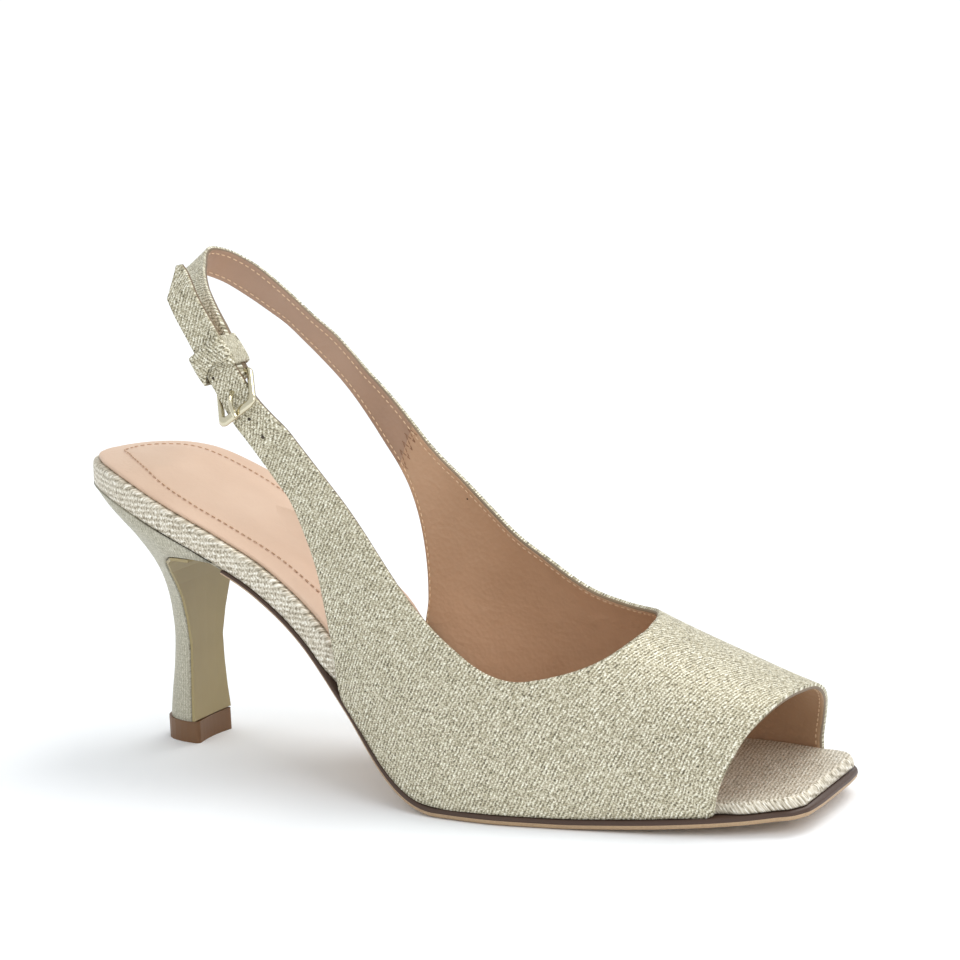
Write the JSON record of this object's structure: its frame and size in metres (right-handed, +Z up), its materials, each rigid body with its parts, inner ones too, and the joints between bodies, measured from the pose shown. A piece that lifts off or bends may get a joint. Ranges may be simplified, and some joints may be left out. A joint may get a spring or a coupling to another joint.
{
  "type": "heeled slingback sandal",
  "caption": "Open-toe slingback sandal on a high covered heel, with a shimmering fabric upper that runs out into a buckled strap round the back of the ankle.",
  "frame": {"origin": "on the tread of the heel tip, on the shoe's centre line, under the heel's neck", "axes": "+X towards the toe, +Y towards the inner side of the foot, +Z up from the floor"},
  "size_m": [0.2329, 0.0806, 0.147],
  "materials": {
    "shimmer_fabric": "woven with fine metallic yarn, diagonal rib",
    "sole_leather": "smooth, dark brown edge",
    "sock_leather": "soft matt lining leather",
    "breast_leather": "smooth, satin",
    "tip_rubber": "hard, satin",
    "buckle_metal": "polished, pale gold plate"
  },
  "bodies": {
    "root": {"outsole": "sole_leather", "insole": "shimmer_fabric", "sock": "sock_leather", "heel": "shimmer_fabric", "heel_breast": "breast_leather", "heel_tip": "tip_rubber", "upper": "shimmer_fabric", "keeper": "shimmer_fabric", "buckle_frame": "buckle_metal", "buckle_prong": "buckle_metal"}
  },
  "joints": []
}
